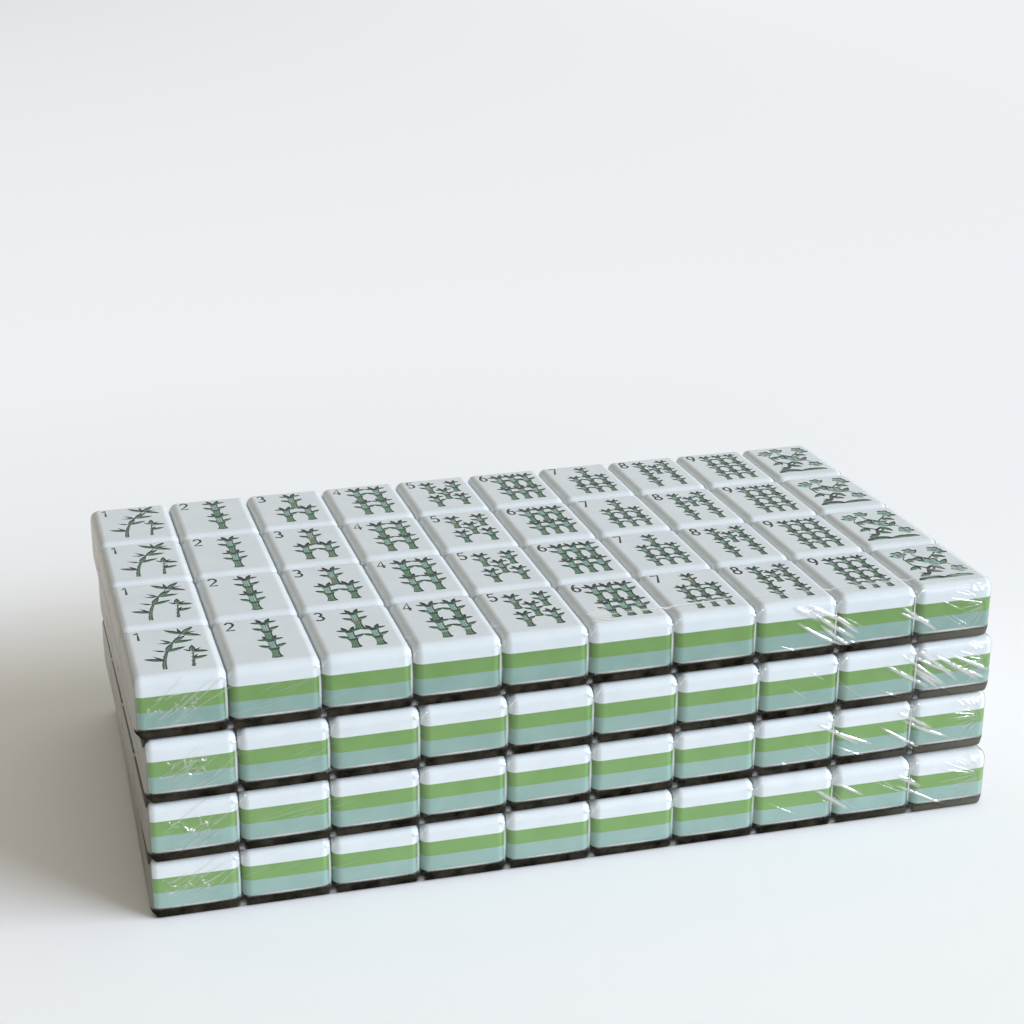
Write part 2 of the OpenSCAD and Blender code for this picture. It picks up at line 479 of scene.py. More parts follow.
def bamboo_stick(height, accent=False):
    """A jointed cane with leaves at its joint and its head, the bamboo suit's traditional sign."""
    half_h, half_w = height / 2, 0.09 * height + 0.36
    line = 0.16 + 0.01 * height
    shapes = []
    for low in (-1, 0):
        y0, y1 = low * half_h, (low + 1) * half_h
        bulge = [(0.0, 1.0), (0.22, 0.74), (0.5, 0.66), (0.78, 0.74), (1.0, 1.0)]
        right = [(half_w * b, y0 + (y1 - y0) * a) for a, b in bulge]
        left = [(-x, y) for x, y in right[::-1]]
        shapes += ringed(LEAF if low else AQUA, right + left, line)
        for x in (-0.3, 0.12):
            shapes += stroke([(x * half_w, y0 + 0.5), (x * half_w - 0.05, y1 - 0.5)], 0.13)
    for y in (-half_h, 0.0, half_h):
        knot = oval(0, y, half_w * 1.15, 0.28 + 0.025 * height, 12)
        shapes += ringed(RUST if accent and y == 0.0 else DARK, knot, 0.14)
    for side in (-1, 1):
        green = leaf(0.3 * height + 0.3, 0.12 * height + 0.2, line * 0.8)
        shapes += placed(green, 0.5 * half_w * side, 0.06 * height, 90 - side * 56)
        for turn, colour in ((24, DARK), (74, LEAF)):
            tip = leaf(0.26 * height + 0.3, 0.09 * height + 0.25, line * 0.7, colour)
            shapes += placed(tip, 0.4 * half_w * side, half_h, 90 - side * turn)
    return shapes


def coin(height, accent=False):
    """A round coin with rings and a petalled middle."""
    r = 0.5 * height
    shapes = ringed(AQUA, oval(0, 0, r, r, 24), 0.28)
    shapes += stroke(oval(0, 0, 0.72 * r, 0.72 * r, 20), 0.18, closed=True)
    for i in range(6):
        shapes += placed(leaf(0.56 * r, 0.36 * r, 0.13), angle=60 * i)
    return shapes + ringed(RUST if accent else DARK, oval(0, 0, 0.18 * r, 0.18 * r, 10), 0.12)


def lozenge(height, accent=False):
    """A lozenge with a second one inside and wave lines at its sides."""
    h, w = 0.5 * height, 0.34 * height
    shapes = ringed(LEAF, [(w, 0), (0, h), (-w, 0), (0, -h)], 0.26)
    inner = [(0.55 * w, 0), (0, 0.55 * h), (-0.55 * w, 0), (0, -0.55 * h)]
    shapes += ringed(AQUA, inner, 0.18)
    for side in (-1, 1):
        wave = bow(side * w * 0.75, side * h * 0.62, 0.3 * w, 0.2 * h, 200, -20, 6)
        shapes += stroke(wave, 0.16)
    return shapes + fill(RUST if accent else DARK, oval(0, 0, 0.14 * w, 0.14 * w, 10))


def blossom(height, accent=False, petals=5):
    """A round-petalled flower with stamens."""
    r = 0.5 * height
    shapes = []
    for i in range(petals):
        petal = oval(0.58 * r, 0, 0.42 * r, 0.36 * r, 14)
        vein = [(0.3 * r, 0), (0.72 * r, 0)]
        both = ringed(AQUA, petal, 0.18) + stroke(vein, 0.11)
        shapes += placed(both, angle=90 + 360 / petals * i)
    return shapes + ringed(RUST if accent else LEAF, oval(0, 0, 0.24 * r, 0.24 * r, 12), 0.16)


def sprig(height, _):
    """A young cane that bends over, with leaves along it: the bamboo suit's first tile."""
    rise = np.linspace(0, 1, 9)
    stem = [(-0.2 * height + 0.3 * height * t**2, height * (0.96 * t - 0.5)) for t in rise]
    shoot = [(0.13 * height + 0.04 * height * t, height * (0.42 * t - 0.5)) for t in rise]
    shapes = []
    for line, width in ((stem, 1.15), (shoot, 0.85)):
        shapes += stroke(line, width, taper=True) + stroke(line[:-1], width / 2, LEAF, taper=True)
        for x, y in line[1:8:2]:
            shapes += stroke([(x - 0.6, y), (x + 0.6, y + 0.15)], 0.3)
    fans = [(stem[2], (158, 128)), (stem[4], (24, 152, 70)), (stem[6], (8, 136, 48, 172))]
    fans += [(stem[8], (-24, 12, 50, 100, 140)), (shoot[4], (18, 62)), (shoot[8], (-8, 40, 88, 140))]
    for at, angles in fans:
        for i, turn in enumerate(angles):
            long = 0.25 * height * (1 if at in stem else 0.72)
            shapes += placed(blade(long * 0.8, 0.9) if i % 2 else leaf(long, 0.07 * height, 0.26), *at, turn)
    return shapes


def branch(height):
    """A flowering branch over a mound, which fills a tile."""
    main = [(-6.6, -8.2), (-3.6, -6.4), (-2.2, -2.8), (0.6, -0.6), (1.4, 3.6), (4.8, 7.0)]
    twigs = [
        [(-2.2, -2.8), (-5.4, 0.2), (-6.0, 4.4), (-4.6, 7.6)],
        [(0.6, -0.6), (4.8, -1.0), (6.4, -3.8)],
        [(1.4, 3.6), (-1.6, 6.6), (-2.0, 9.6)],
        [(4.8, 7.0), (6.6, 9.4)],
    ]
    shapes = fill(DARK, bow(-4.6, -10.6, 4.2, 2.6, 0, 180, 12))
    shapes += ringed(AQUA, bow(-4.4, -10.6, 3.0, 1.5, 0, 180, 10), 0.2)
    shapes += ringed(LEAF, bow(3.4, -10.6, 4.4, 1.8, 0, 180, 12), 0.34)
    shapes += stroke(bow(3.2, -10.4, 2.6, 0.9, 10, 170, 8), 0.22)
    shapes += stroke(main, 1.5, taper=True)
    for twig in twigs:
        shapes += stroke(twig, 0.8, taper=True)
    leaves = [(-3.6, -6.4, 205), (-4.4, -0.8, 215), (0.0, -1.4, -60), (3.4, -0.9, 50), (6.2, -3.4, -100)]
    leaves += [(-0.4, 5.4, 210), (3.4, 5.6, -30), (-2.8, -4.8, -22), (-5.9, 3.2, 20), (1.2, 2.0, 165)]
    leaves += [(5.4, 8.0, -15), (-1.9, 8.2, 40), (-5.2, 6.2, 150)]
    for i, (x, y, turn) in enumerate(leaves):
        shapes += placed(leaf(4.0, 1.8, 0.3), x, y, turn)
        shapes += placed(blade(3.0, 1.1), x, y, turn + (46 if i % 2 else -46))
    flowers = [(-5.6, 8.4, 4.6), (6.0, -5.2, 4.8), (6.2, 9.6, 4.4), (-1.4, 10.2, 4.0), (1.2, 1.6, 5.2)]
    for x, y, size in flowers:
        shapes += placed(blossom(size, accent=True), x, y, 17 * x)
    return placed(shapes, scale=height / 25.0)


def medallion(height, sign):
    """One large sign for a suit's first tile, in a ring of leaves."""
    return leaf_ring(height, 12, 0.07, 0.29, 0.29, (25,)) + sign(0.5 * height, accent=True)


def cloud(height):
    """Three curled clouds over two waves."""
    shapes = []
    for x, y, s in ((-3.4, 5.8, 1.0), (3.2, 2.4, 1.15), (-2.6, -2.4, 0.9)):
        curl = bow(0, 0, 2.6, 2.0, -60, 200, 14) + bow(-1.2, -0.7, 1.3, 1.2, 180, 380, 10)
        shapes += placed(stroke(curl, 0.42) + stroke(curl, 0.16, AQUA), x, y, 0, s)
        shapes += placed(leaf(4.2, 1.0, 0.2, AQUA), x + 1.4, y - 1.6, -8, s)
    for y in (-6.4, -8.6):
        wave = [(x, y + 0.7 * math.sin(1.5 * x)) for x in np.linspace(-6, 6, 28)]
        shapes += stroke(wave, 0.5) + stroke(wave, 0.22, LEAF)
    return placed(shapes, scale=height / 21.0)


def wreath(height):
    """Leaves in a ring round a flower."""
    ring = leaf_ring(height, 16, 0.065, 0.3, 0.36, (62, 118))
    return ring + blossom(0.34 * height, accent=True, petals=6)


SUITS = {
    4: (bamboo_stick, sprig, branch),
    3: (coin, medallion, cloud),
    2: (lozenge, medallion, wreath),
    1: (blossom, medallion, branch),
}


def suit_signs(sign, count):
    """A suit's sign, as many times as the tile's number says."""
    height = SIGN_SHARES[count] * FIELD_H
    if sign is not bamboo_stick:
        height = min(height, SIGN_ROOM[count])
    shapes = []
    for i, (x, y) in enumerate(LAYOUT_SHARES[count]):
        accent = i == 0 and count % 2 == 1
        shapes += placed(sign(height, accent=accent), x * FIELD_W / 2, y * FIELD_H / 2)
    return shapes


def face_shapes(pack, column):
    """All that is carved into the faces of one column."""
    sign, first, last = SUITS[pack]
    if column == COLUMNS:
        return last(LAST_H)
    drawn = first(FIELD_H, sign) if column == 1 else suit_signs(sign, column)
    number = numeral(column, NUMBER_H, NUMBER_W, NUMBER_PEN)
    return placed(drawn, FIELD_X, FIELD_Y) + placed(number, NUMBER_IN - FLAT_W, FLAT_D - NUMBER_DOWN)


# Tiles


class Mesh:
    """Points, faces, paints and the normals at each face's corners."""

    def __init__(self):
        self.points, self.faces, self.paints, self.normals = [], [], [], []

    def add_points(self, points):
        start = len(self.points)
        self.points += [tuple(p) for p in points]
        return list(range(start, len(self.points)))

    def add_face(self, corners, normals, paint=BARE):
        self.faces.append(corners)
        self.normals.append(normals)
        self.paints.append(paint)


def inside(points, outline):
    """Which points lie inside an outline."""
    hit = np.zeros(len(points), bool)
    x, y = points.T
    for i, (x1, y1) in enumerate(outline):
        x0, y0 = outline[i - 1]
        if y0 != y1:
            hit ^= ((y0 > y) != (y1 > y)) & (x < (x1 - x0) * (y - y0) / (y1 - y0) + x0)
    return hit


def clipped(outline):
    """The part of an outline that lies on the flat top, a little inside its edges."""
    for axis, limit in enumerate((FLAT_W - EDGE_MARGIN, FLAT_D - EDGE_MARGIN)):
        for sign in (-1, 1):
            kept = []
            for i, b in enumerate(outline):
                a = outline[i - 1]
                a_out, b_out = sign * a[axis] > limit, sign * b[axis] > limit
                if a_out != b_out:
                    t = (sign * limit - a[axis]) / (b[axis] - a[axis])
                    kept.append(tuple(a[k] + t * (b[k] - a[k]) for k in (0, 1)))
                if not b_out:
                    kept.append(b)
            outline = kept
    return outline


def carve_top(mesh, shapes):
    """The flat top of a tile with its carving. Returns the top's four corners."""
    shapes = [(colour, clipped(outline)) for colour, outline in shapes]
    shapes = [(colour, outline) for colour, outline in shapes if len(outline) > 2]
    corners = [(sx * FLAT_W, sy * FLAT_D) for sx, sy in CORNER_SIGNS]
    points, faces = [], []
    for outline in [corners, *(outline for _, outline in shapes)]:
        faces.append(list(range(len(points), len(points) + len(outline))))
        points += [Vector(p) for p in outline]
    flat, _, triangles, _, _, _ = delaunay_2d_cdt(points, [], faces, 1, WELD, False)
    middles = np.array([sum((flat[i] for i in t), Vector((0, 0))) / 3 for t in triangles])
    colours = np.array([BARE] * len(triangles), dtype=object)
    for colour, outline in shapes:
        colours[inside(middles, outline)] = colour
    upper, lower = (mesh.add_points([(*p, z) for p in flat]) for z in (TOP_Z, TOP_Z - CARVE_DEPTH))
    bare_edges = {(t[i], t[i - 1]) for t, c in zip(triangles, colours) if c == BARE for i in range(3)}
    for triangle, colour in zip(triangles, colours):
        level = upper if colour == BARE else lower
        mesh.add_face([level[i] for i in triangle], [UP] * 3, colour)
        for i in range(3):
            a, b = triangle[i - 1], triangle[i]
            if colour != BARE and (a, b) in bare_edges:
                d = (flat[b] - flat[a]).normalized()
                mesh.add_face([lower[a], upper[a], upper[b], lower[b]], [(-d[1], d[0], 0)] * 4, colour)
    return [upper[min(range(len(flat)), key=lambda i: (flat[i] - Vector(c)).length)] for c in corners]


def roll_edges(mesh, corner_points):
    """The rolled edges round a tile's top, its upright sides and its flat underside."""
    turns = CORNER_STEPS + 1
    rings = []
    for k in range(1, ROLL_STEPS + 2):
        a = math.pi / 2 * min(k, ROLL_STEPS) / ROLL_STEPS
        z = FACE_Z if k > ROLL_STEPS else TOP_Z - ROLL_R * (1 - math.cos(a))
        points, normals = [], []
        for c, (sx, sy) in enumerate(CORNER_SIGNS):
            for j in range(turns):
                b = math.pi / 2 * (c + j / CORNER_STEPS)
                n = (math.sin(a) * math.cos(b), math.sin(a) * math.sin(b), math.cos(a))
                points.append((sx * FLAT_W + ROLL_R * n[0], sy * FLAT_D + ROLL_R * n[1], z))
                normals.append(n)
        rings.append((mesh.add_points(points), normals))
    first, n1 = rings[0]
    for c, corner in enumerate(corner_points):
        here, after = c * turns, (c + 1) % 4 * turns
        last = here + CORNER_STEPS
        for j in range(here, last):
            mesh.add_face([corner, first[j], first[j + 1]], [UP, n1[j], n1[j + 1]])
        edge = [corner, first[last], first[after], corner_points[(c + 1) % 4]]
        mesh.add_face(edge, [UP, n1[last], n1[after], UP])
    count = len(first)
    for (inner, n0), (outer, n1) in zip(rings, rings[1:]):
        for i in range(count):
            j = (i + 1) % count
            mesh.add_face([inner[i], outer[i], outer[j], inner[j]], [n0[i], n1[i], n1[j], n0[j]])
    mesh.add_face(rings[-1][0][::-1], [(0, 0, -1)] * count)


def new_object(name, data):
    """An object in the scene."""
    obj = bpy.data.objects.new(name, data)
    bpy.context.scene.collection.objects.link(obj)
    return obj


def make_object(name, points, faces, materials, indices=None, normals=None):
    """A mesh object in the row frame."""
    mesh = bpy.data.meshes.new(name)
    mesh.from_pydata([tuple(p) for p in points], [], faces)
    for material in materials:
        mesh.materials.append(material)
    if indices is not None:
        mesh.polygons.foreach_set("material_index", indices)
    mesh.polygons.foreach_set("use_smooth", [True] * len(mesh.polygons))
    if normals is not None:
        mesh.normals_split_custom_set(normals)
    mesh.update()
    return new_object(name, mesh)


def used_only(mesh):
    """The mesh's points that its faces use, with the faces renumbered."""
    used = sorted({i for face in mesh.faces for i in face})
    index = {old: new for new, old in enumerate(used)}
    return np.array([mesh.points[i] for i in used]), [[index[i] for i in f] for f in mesh.faces]


def carved_column(pack, column, matrix, materials):
    """The four carved face plies of one column."""
    mesh = Mesh()
    roll_edges(mesh, carve_top(mesh, face_shapes(pack, column)))
    tile, tile_faces = used_only(mesh)
    turn = np.array(matrix.to_3x3().normalized())
    tile_normals = np.vstack(mesh.normals) @ turn.T
    slots = [BARE, DARK, LEAF, AQUA, RUST]
    indices = [slots.index(p) for p in mesh.paints] * ROWS
    x = (column - (COLUMNS + 1) / 2) * COLUMN_STEP
    points, faces = [], []
    for row in range(ROWS):
        y = (row - (ROWS - 1) / 2) * ROW_STEP
        points.append(moved(tile + (x, y, 0), matrix))
        faces += [[i + row * len(tile) for i in f] for f in tile_faces]
    name = f"pack_{pack}_carved_faces_{column}"
    normals = np.tile(tile_normals, (ROWS, 1))
    obj = make_object(name, np.vstack(points), faces, materials, indices, normals)
    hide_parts(f"pack_{pack}_column_{column}_faces")
    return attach(obj, f"pack_{pack}")


# Film


class Ridge:
    """A wrinkle in the film: a curved line across one side, with a height, a half width and a shine, the
    strength of the painted highlight along it.
    """

    def __init__(self, start, end, sag, half_width, height, shine, steps=9):
        start, end = np.array(start, float), np.array(end, float)
        t = np.linspace(0, 1, steps)[:, None]
        across = left_of(unit((end - start)[None]))
        self.line = start + t * (end - start) + across * (4 * sag * t * (1 - t))
        self.half_width, self.height, self.shine = half_width, height, shine

    def station_points(self):
        """Points along and beside the line, close enough to carry its shape."""
        length = np.linalg.norm(np.diff(self.line, axis=0), axis=1).sum()
        count = max(4, int(length / max(0.45, 2.2 * self.half_width)))
        t = np.linspace(0, 1, count)
        index = np.linspace(0, 1, len(self.line))
        x, y = (np.interp(t, index, self.line[:, i]) for i in (0, 1))
        side = left_of(unit(np.stack([np.gradient(x), np.gradient(y)], axis=1)))
        offsets = np.array(STATION_OFFSETS)[:, None] * self.half_width
        middle = np.stack([x, y], axis=1)
        return (middle[:, None] + side[:, None] * offsets).reshape(-1, 2)

    def profile_at(self, points):
        """The ridge's share of its height at each point, which runs out at both its ends."""
        best = np.full(len(points), 1e9)
        along = np.zeros(len(points))
        pieces = len(self.line) - 1
        for i in range(pieces):
            a, b = self.line[i], self.line[i + 1]
            t = np.clip((points - a) @ (b - a) / ((b - a) @ (b - a)), 0, 1)
            d = np.linalg.norm(points - a - t[:, None] * (b - a), axis=1)
            closer = d < best
            best = np.where(closer, d, best)
            along = np.where(closer, (i + t) / pieces, along)
        swell = np.sin(math.pi * along) ** 0.5
        width = self.half_width * (0.45 + 0.55 * swell)
        return swell * np.exp(-0.5 * (best / width) ** 2)


def groove_lines(half, step, count):
    """Where the film's net has its lines along one side, close together over the grooves."""
    lines = {-half, half}
    for share in ROLL_SHARES:
        lines |= {s * (half - share * r) for r in (EDGE_R, FOLD_R) for s in (-1, 1)}
    for i in range(1, count):
        groove = (i - count / 2) * step
        lines |= {groove + s * o for o in GROOVE_OFFSETS for s in (-1, 1)}
    for i in range(count):
        middle = (i - (count - 1) / 2) * step
        lines |= {middle + share * step for share in TILE_SHARES}
    return sorted(round(x, 4) for x in lines)


def upright_lines():
    """Where the film's net has its lines up its sides, close together where the shade ends."""
    lines = {FILM_LOW, FILM_HIGH} | {FILM_LOW + rise for rise in SHADE_LINES}
    for share in ROLL_SHARES:
        lines |= {FILM_LOW + share * FOLD_R, FILM_HIGH - share * EDGE_R}
    start = SHADE_LINES[-1]
    inner = FILM_HIGH - FILM_LOW - start - EDGE_R
    lines |= {FILM_LOW + start + inner * i / 7 for i in range(1, 7)}
    return sorted(round(x, 4) for x in lines)


def valley(distance):
    """How deep the film dips over a groove, at a distance from its middle."""
    inside = np.clip(1 - (distance / VALLEY_HALF_W) ** 2, 0, 1)
    return VALLEY_DEPTH * inside**1.5


def from_groove(x, count=COLUMNS, step=COLUMN_STEP):
    """How far places lie from the nearest groove."""
    index = np.clip(np.round(x / step + count / 2), 1, count - 1)
    return np.abs(x - (index - count / 2) * step)


def fade(coordinate, low, high, at_edge=VALLEY_AT_EDGE):
    """Full depth away from two edges, and a share of it at them."""
    near = np.minimum(coordinate - low, high - coordinate)
    return at_edge + (1 - at_edge) * step_up(near, 0, VALLEY_FADE)


def rolled_edges(across, up):
    """Edges that keep the net's lines whole where they run along a rolled edge."""
    edges, rise, reach = [], len(up), 1.05 * ROLL_R
    for j, level in enumerate(up):
        if min(level - up[0], up[-1] - level) < reach:
            edges += [(i * rise + j, (i + 1) * rise + j) for i in range(len(across) - 1)]
    for i, place in enumerate(across):
        if min(place - across[0], across[-1] - place) < reach:
            edges += [(i * rise + j, i * rise + j + 1) for j in range(rise - 1)]
    return edges


def net_side(axis, sign, lines, ridges):
    """One side of the film's net: its points on the sharp box, and its triangles."""
    u, v = [i for i in range(3) if i != axis]
    grid = [(a, b) for a in lines[u] for b in lines[v]]
    lo = np.array([lines[u][0], lines[v][0]]) + SPOT_MARGIN
    hi = np.array([lines[u][-1], lines[v][-1]]) - SPOT_MARGIN
    spots = {}
    for ridge in ridges:
        for spot in ridge.station_points():
            if np.all((spot > lo) & (spot < hi)):
                spots.setdefault(tuple(np.round(spot / SPOT_STEP).astype(int)), tuple(spot))
    grid = [Vector(p) for p in [*grid, *spots.values()]]
    edges = rolled_edges(lines[u], lines[v])
    flat, _, triangles, _, _, _ = delaunay_2d_cdt(grid, edges, [], 0, WELD, False)
    points = np.zeros((len(flat), 3))
    points[:, (u, v)] = [tuple(p) for p in flat]
    points[:, axis] = lines[axis][-1 if sign > 0 else 0]
    flip = (sign > 0) == (axis == 1)
    return points, [t[::-1] if flip else t for t in triangles]


def side_height(axis, points, ridges):
    """How far one side of the film stands off its plain form (dips are negative), and its crease sheen: the
    painted highlight along its wrinkles.
    """
    x, y, z = points.T
    depth = np.zeros(len(points))
    if axis != 0:
        across = fade(y, -FILM_D, FILM_D) if axis == 2 else fade(z, FILM_LOW, FILM_HIGH)
        depth += valley(from_groove(x)) * across
    if axis != 1:
        across = fade(x, -FILM_W, FILM_W, VALLEY_AT_END) if axis == 2 else VALLEY_AT_END
        depth = np.maximum(depth, valley(from_groove(y, ROWS, ROW_STEP)) * across)
    u, v = [i for i in range(3) if i != axis]
    ridge, crease_sheen = np.zeros(len(points)), np.zeros(len(points))
    for r in ridges:
        profile = r.profile_at(points[:, (u, v)])
        ridge += r.height * profile
        crease_sheen = np.maximum(crease_sheen, r.shine * profile)
    limit = TOP_RIDGE_LIMIT if axis == 2 else RIDGE_LIMIT
    return np.minimum(ridge, limit) - depth, crease_sheen


def step_up(values, low, high):
    """A smooth rise from 0 to 1 between two values."""
    t = np.clip((values - low) / (high - low), 0, 1)
    return t * t * (3 - 2 * t)


def on_long_sides(normals):
    """1 on the film's two long sides, and 0 elsewhere."""
    return step_up(np.abs(normals[:, 1]), 0.02, 0.2)


def veil_at(points, normals):
    """Where the film is gathered and milky: at its ends, at the grooves' lower ends and low on the
    last column."""
    x, z = points[:, 0], points[:, 2]
    ends = END_VEIL * step_up(np.abs(normals[:, 0]), 0.5, 0.85)
    rise = (z - FILM_LOW - WEB_Z) / WEB_Z
    web = GROOVE_VEIL * np.exp(-((from_groove(x) / WEB_HALF_W) ** 2) - rise**2)
    last = step_up(x, FILM_W - 1.2 * COLUMN_STEP, FILM_W - 0.4 * COLUMN_STEP)
    # Low on the last column the film is a little milky, over the back plies
    low = np.maximum(web, LAST_COLUMN_VEIL * last * (z < BACK_TOP)) * on_long_sides(normals)
    return np.maximum(ends, low)


def shade_at(points, normals, covered):
    """Painted shade: where the film turns under a pack and over the low part of the back plies on its long
    sides it is painted dark, and on the ends of a lower pack a painted shadow lies where the fold of the
    pack above shades them."""
    apart = from_groove(points[:, 0])
    level = points[:, 2] - FILM_LOW
    long_sides = on_long_sides(normals) * step_up(apart, 0.6, 1.4)
    nx, ny, nz = normals.T
    # Painted shadow across the upper roll of a lower pack's ends
    seam = PAINTED_SEAM_SHADOW * covered * (np.abs(nx) > 2 * np.abs(ny))
    seam = seam * step_up(nz, 0.42, 0.6) * step_up(-nz, -0.98, -0.9)
    # Painted shade low on the long sides, fading out between the shade levels and beside the grooves
    full, none = SHADE_LEVELS
    return np.maximum(seam, step_up(-level, -none, -full) * long_sides)


def rounded(points):
    """Points of the sharp box taken to the rounded one, whose long sides turn under in a tighter
    fold."""
    core_lo = np.array([-FILM_W, -FILM_D, FILM_LOW]) + EDGE_R
    core_hi = np.array([FILM_W, FILM_D, FILM_HIGH]) - EDGE_R
    core = np.clip(points, core_lo, core_hi)
    out = points - core
    normals, around = unit(out), unit(out[:, :2])
    upper = core + EDGE_R * normals
    across = np.abs(out[:, :2]).max(axis=1)
    fold_z = np.maximum(points[:, 2], FILM_LOW + FOLD_R)
    over, down = np.maximum(across - EDGE_R + FOLD_R, 0), fold_z - points[:, 2]
    slant = np.maximum(np.hypot(over, down), WELD)
    radius = np.minimum(across, EDGE_R - FOLD_R) + FOLD_R * over / slant
    lower = np.column_stack([core[:, :2] + around * radius[:, None], fold_z - FOLD_R * down / slant])
    lower_normals = np.column_stack([around * (over / slant)[:, None], -down / slant])
    ends = step_up(np.abs(around[:, 0]), 0.3, 0.9)[:, None]
    lower += ends * (upper - lower)
    lower_normals = unit(lower_normals + ends * (normals - lower_normals))
    below = (points[:, 2] < (FILM_LOW + FILM_HIGH) / 2)[:, None]
    return np.where(below, lower, upper), np.where(below, lower_normals, normals)


def film_piece(pack, matrix, material, ridges):
    """One pack's film, a closed skin over its tiles."""
    along, across = groove_lines(FILM_W, COLUMN_STEP, COLUMNS), groove_lines(FILM_D, ROW_STEP, ROWS)
    lines = (along, across, upright_lines())
    index, positions, marks, faces = {}, [], [], []
    for axis, sign in [(axis, sign) for axis in range(3) for sign in (-1, 1)]:
        side_ridges = ridges.get((axis, sign), [])
        points, triangles = net_side(axis, sign, lines, side_ridges)
        heights, crease_sheen = side_height(axis, points, side_ridges)
        base, normals = rounded(points)
        shade = shade_at(points, normals, pack < PACKS)
        side_marks = np.column_stack([crease_sheen, veil_at(points, normals), shade])
        final = base + normals * heights[:, None]
        numbers = []
        for sharp, place, mark in zip(np.round(points, 3), final, side_marks):
            key = tuple(sharp)
            if key not in index:
                index[key] = len(positions)
                positions.append(place)
                marks.append(mark)
            numbers.append(index[key])
        faces += [[numbers[i] for i in t] for t in triangles]
    obj = make_object(f"pack_{pack}_shrink_film", moved(np.array(positions), matrix), faces, [material])
    for name, values in zip(("crease_sheen", "veil", "shade"), np.array(marks).T):
        layer = obj.data.attributes.new(name, "FLOAT", "POINT")
        layer.data.foreach_set("value", values.tolist())
    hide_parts(f"pack_{pack}_film")
    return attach(obj, f"pack_{pack}")


def streaks(rng, x0, x1, z0, z1, count, lengths, slopes, widths, shine):
    """Long wrinkles on a front, drawn down to one side."""
    made = []
    for _ in range(count):
        x, z = rng.uniform(x0, x1), rng.uniform(z0, z1)
        length, slope = rng.uniform(*lengths), math.radians(rng.uniform(*slopes))
        end = (x + length * math.cos(slope), z + length * math.sin(slope))
        half_width = rng.uniform(*widths)
        made.append(Ridge((x, z), end, rng.uniform(-0.6, 0.3), half_width, 1.25 * half_width, shine))
    return made


def crackle(rng, x0, x1, z0, z1, count, shine):
    """Short crossing wrinkles, like crushed film, where the seal ends."""
    made = []
    x, z = rng.uniform(x0, x1), rng.uniform(z0, z1)
    for _ in range(count):
        turn, length = rng.uniform(-math.pi, math.pi), rng.uniform(1.0, 3.6)
        nx = min(max(x + length * math.cos(turn), x0), x1)
        nz = min(max(z + length * math.sin(turn) * 0.8, z0), z1)
        if math.hypot(nx - x, nz - z) > 0.4:
            half_width, bow_out = rng.uniform(0.09, 0.17), rng.uniform(-0.15, 0.15)
            level = shine * rng.uniform(0.3, 1.0)
            made.append(Ridge((x, z), (nx, nz), bow_out, half_width, 1.5 * half_width, level, 4))
        x, z = (nx, nz) if rng.random() < 0.75 else (rng.uniform(x0, x1), rng.uniform(z0, z1))
    return made


def fan(rng, x, z, count, lengths, first, last, half_width, shine):
    """Fine wrinkles that spread from one point."""
    made = []
    for i in range(count):
        turn = math.radians(first + (last - first) * (i + rng.uniform(-0.3, 0.3)) / max(1, count - 1))
        near, far = rng.uniform(0.4, 1.6), rng.uniform(*lengths)
        start = (x + near * math.cos(turn), z + near * math.sin(turn))
        end = (x + far * math.cos(turn), z + far * math.sin(turn))
        made.append(Ridge(start, end, rng.uniform(-0.3, 0.3), half_width, 1.2 * half_width, shine, 5))
    return made


def bridges(rng):
    """Where the film spans a front, with low ridges that carry painted highlights: a bright rim down each
    groove, flares at its head, and a bright line along the lower edge of each tile's pale plies."""
    step, low, high = COLUMN_STEP, FILM_LOW, FILM_HIGH
    made = []
    for i in range(COLUMNS):
        x0 = (i - COLUMNS / 2) * step
        # Painted highlight: a very low ridge with a bright line along the pale plies' lower edge
        made.append(Ridge((x0 + 0.9, BACK_TOP), (x0 + step - 0.9, BACK_TOP), 0, 0.2, 0.04, 0.95, 3))
    for i in range(1, COLUMNS):
        x = (i - COLUMNS / 2) * step
        # Painted highlight: a low ridge with a bright rim down each groove
        made.append(Ridge((x - 0.6, low + 2.6), (x - 0.6, high - 1.6), 0, 0.19, 0.09, 1.0, 3))
        size = rng.uniform(0.5, 1.0)
        left = (x - 0.35 - 2.0 * size, high - 1.6)
        made.append(Ridge((x - 0.3, high - 2.5), left, 0.2, 0.3 * size, 0.3 * size, 0.9, 5))
        right = (x + 0.5 + 1.6 * size, high - 0.5)
        made.append(Ridge((x + 0.15, high - 3.0), right, 0.5, 0.14, 0.2, 0.8 * size, 6))
    return made


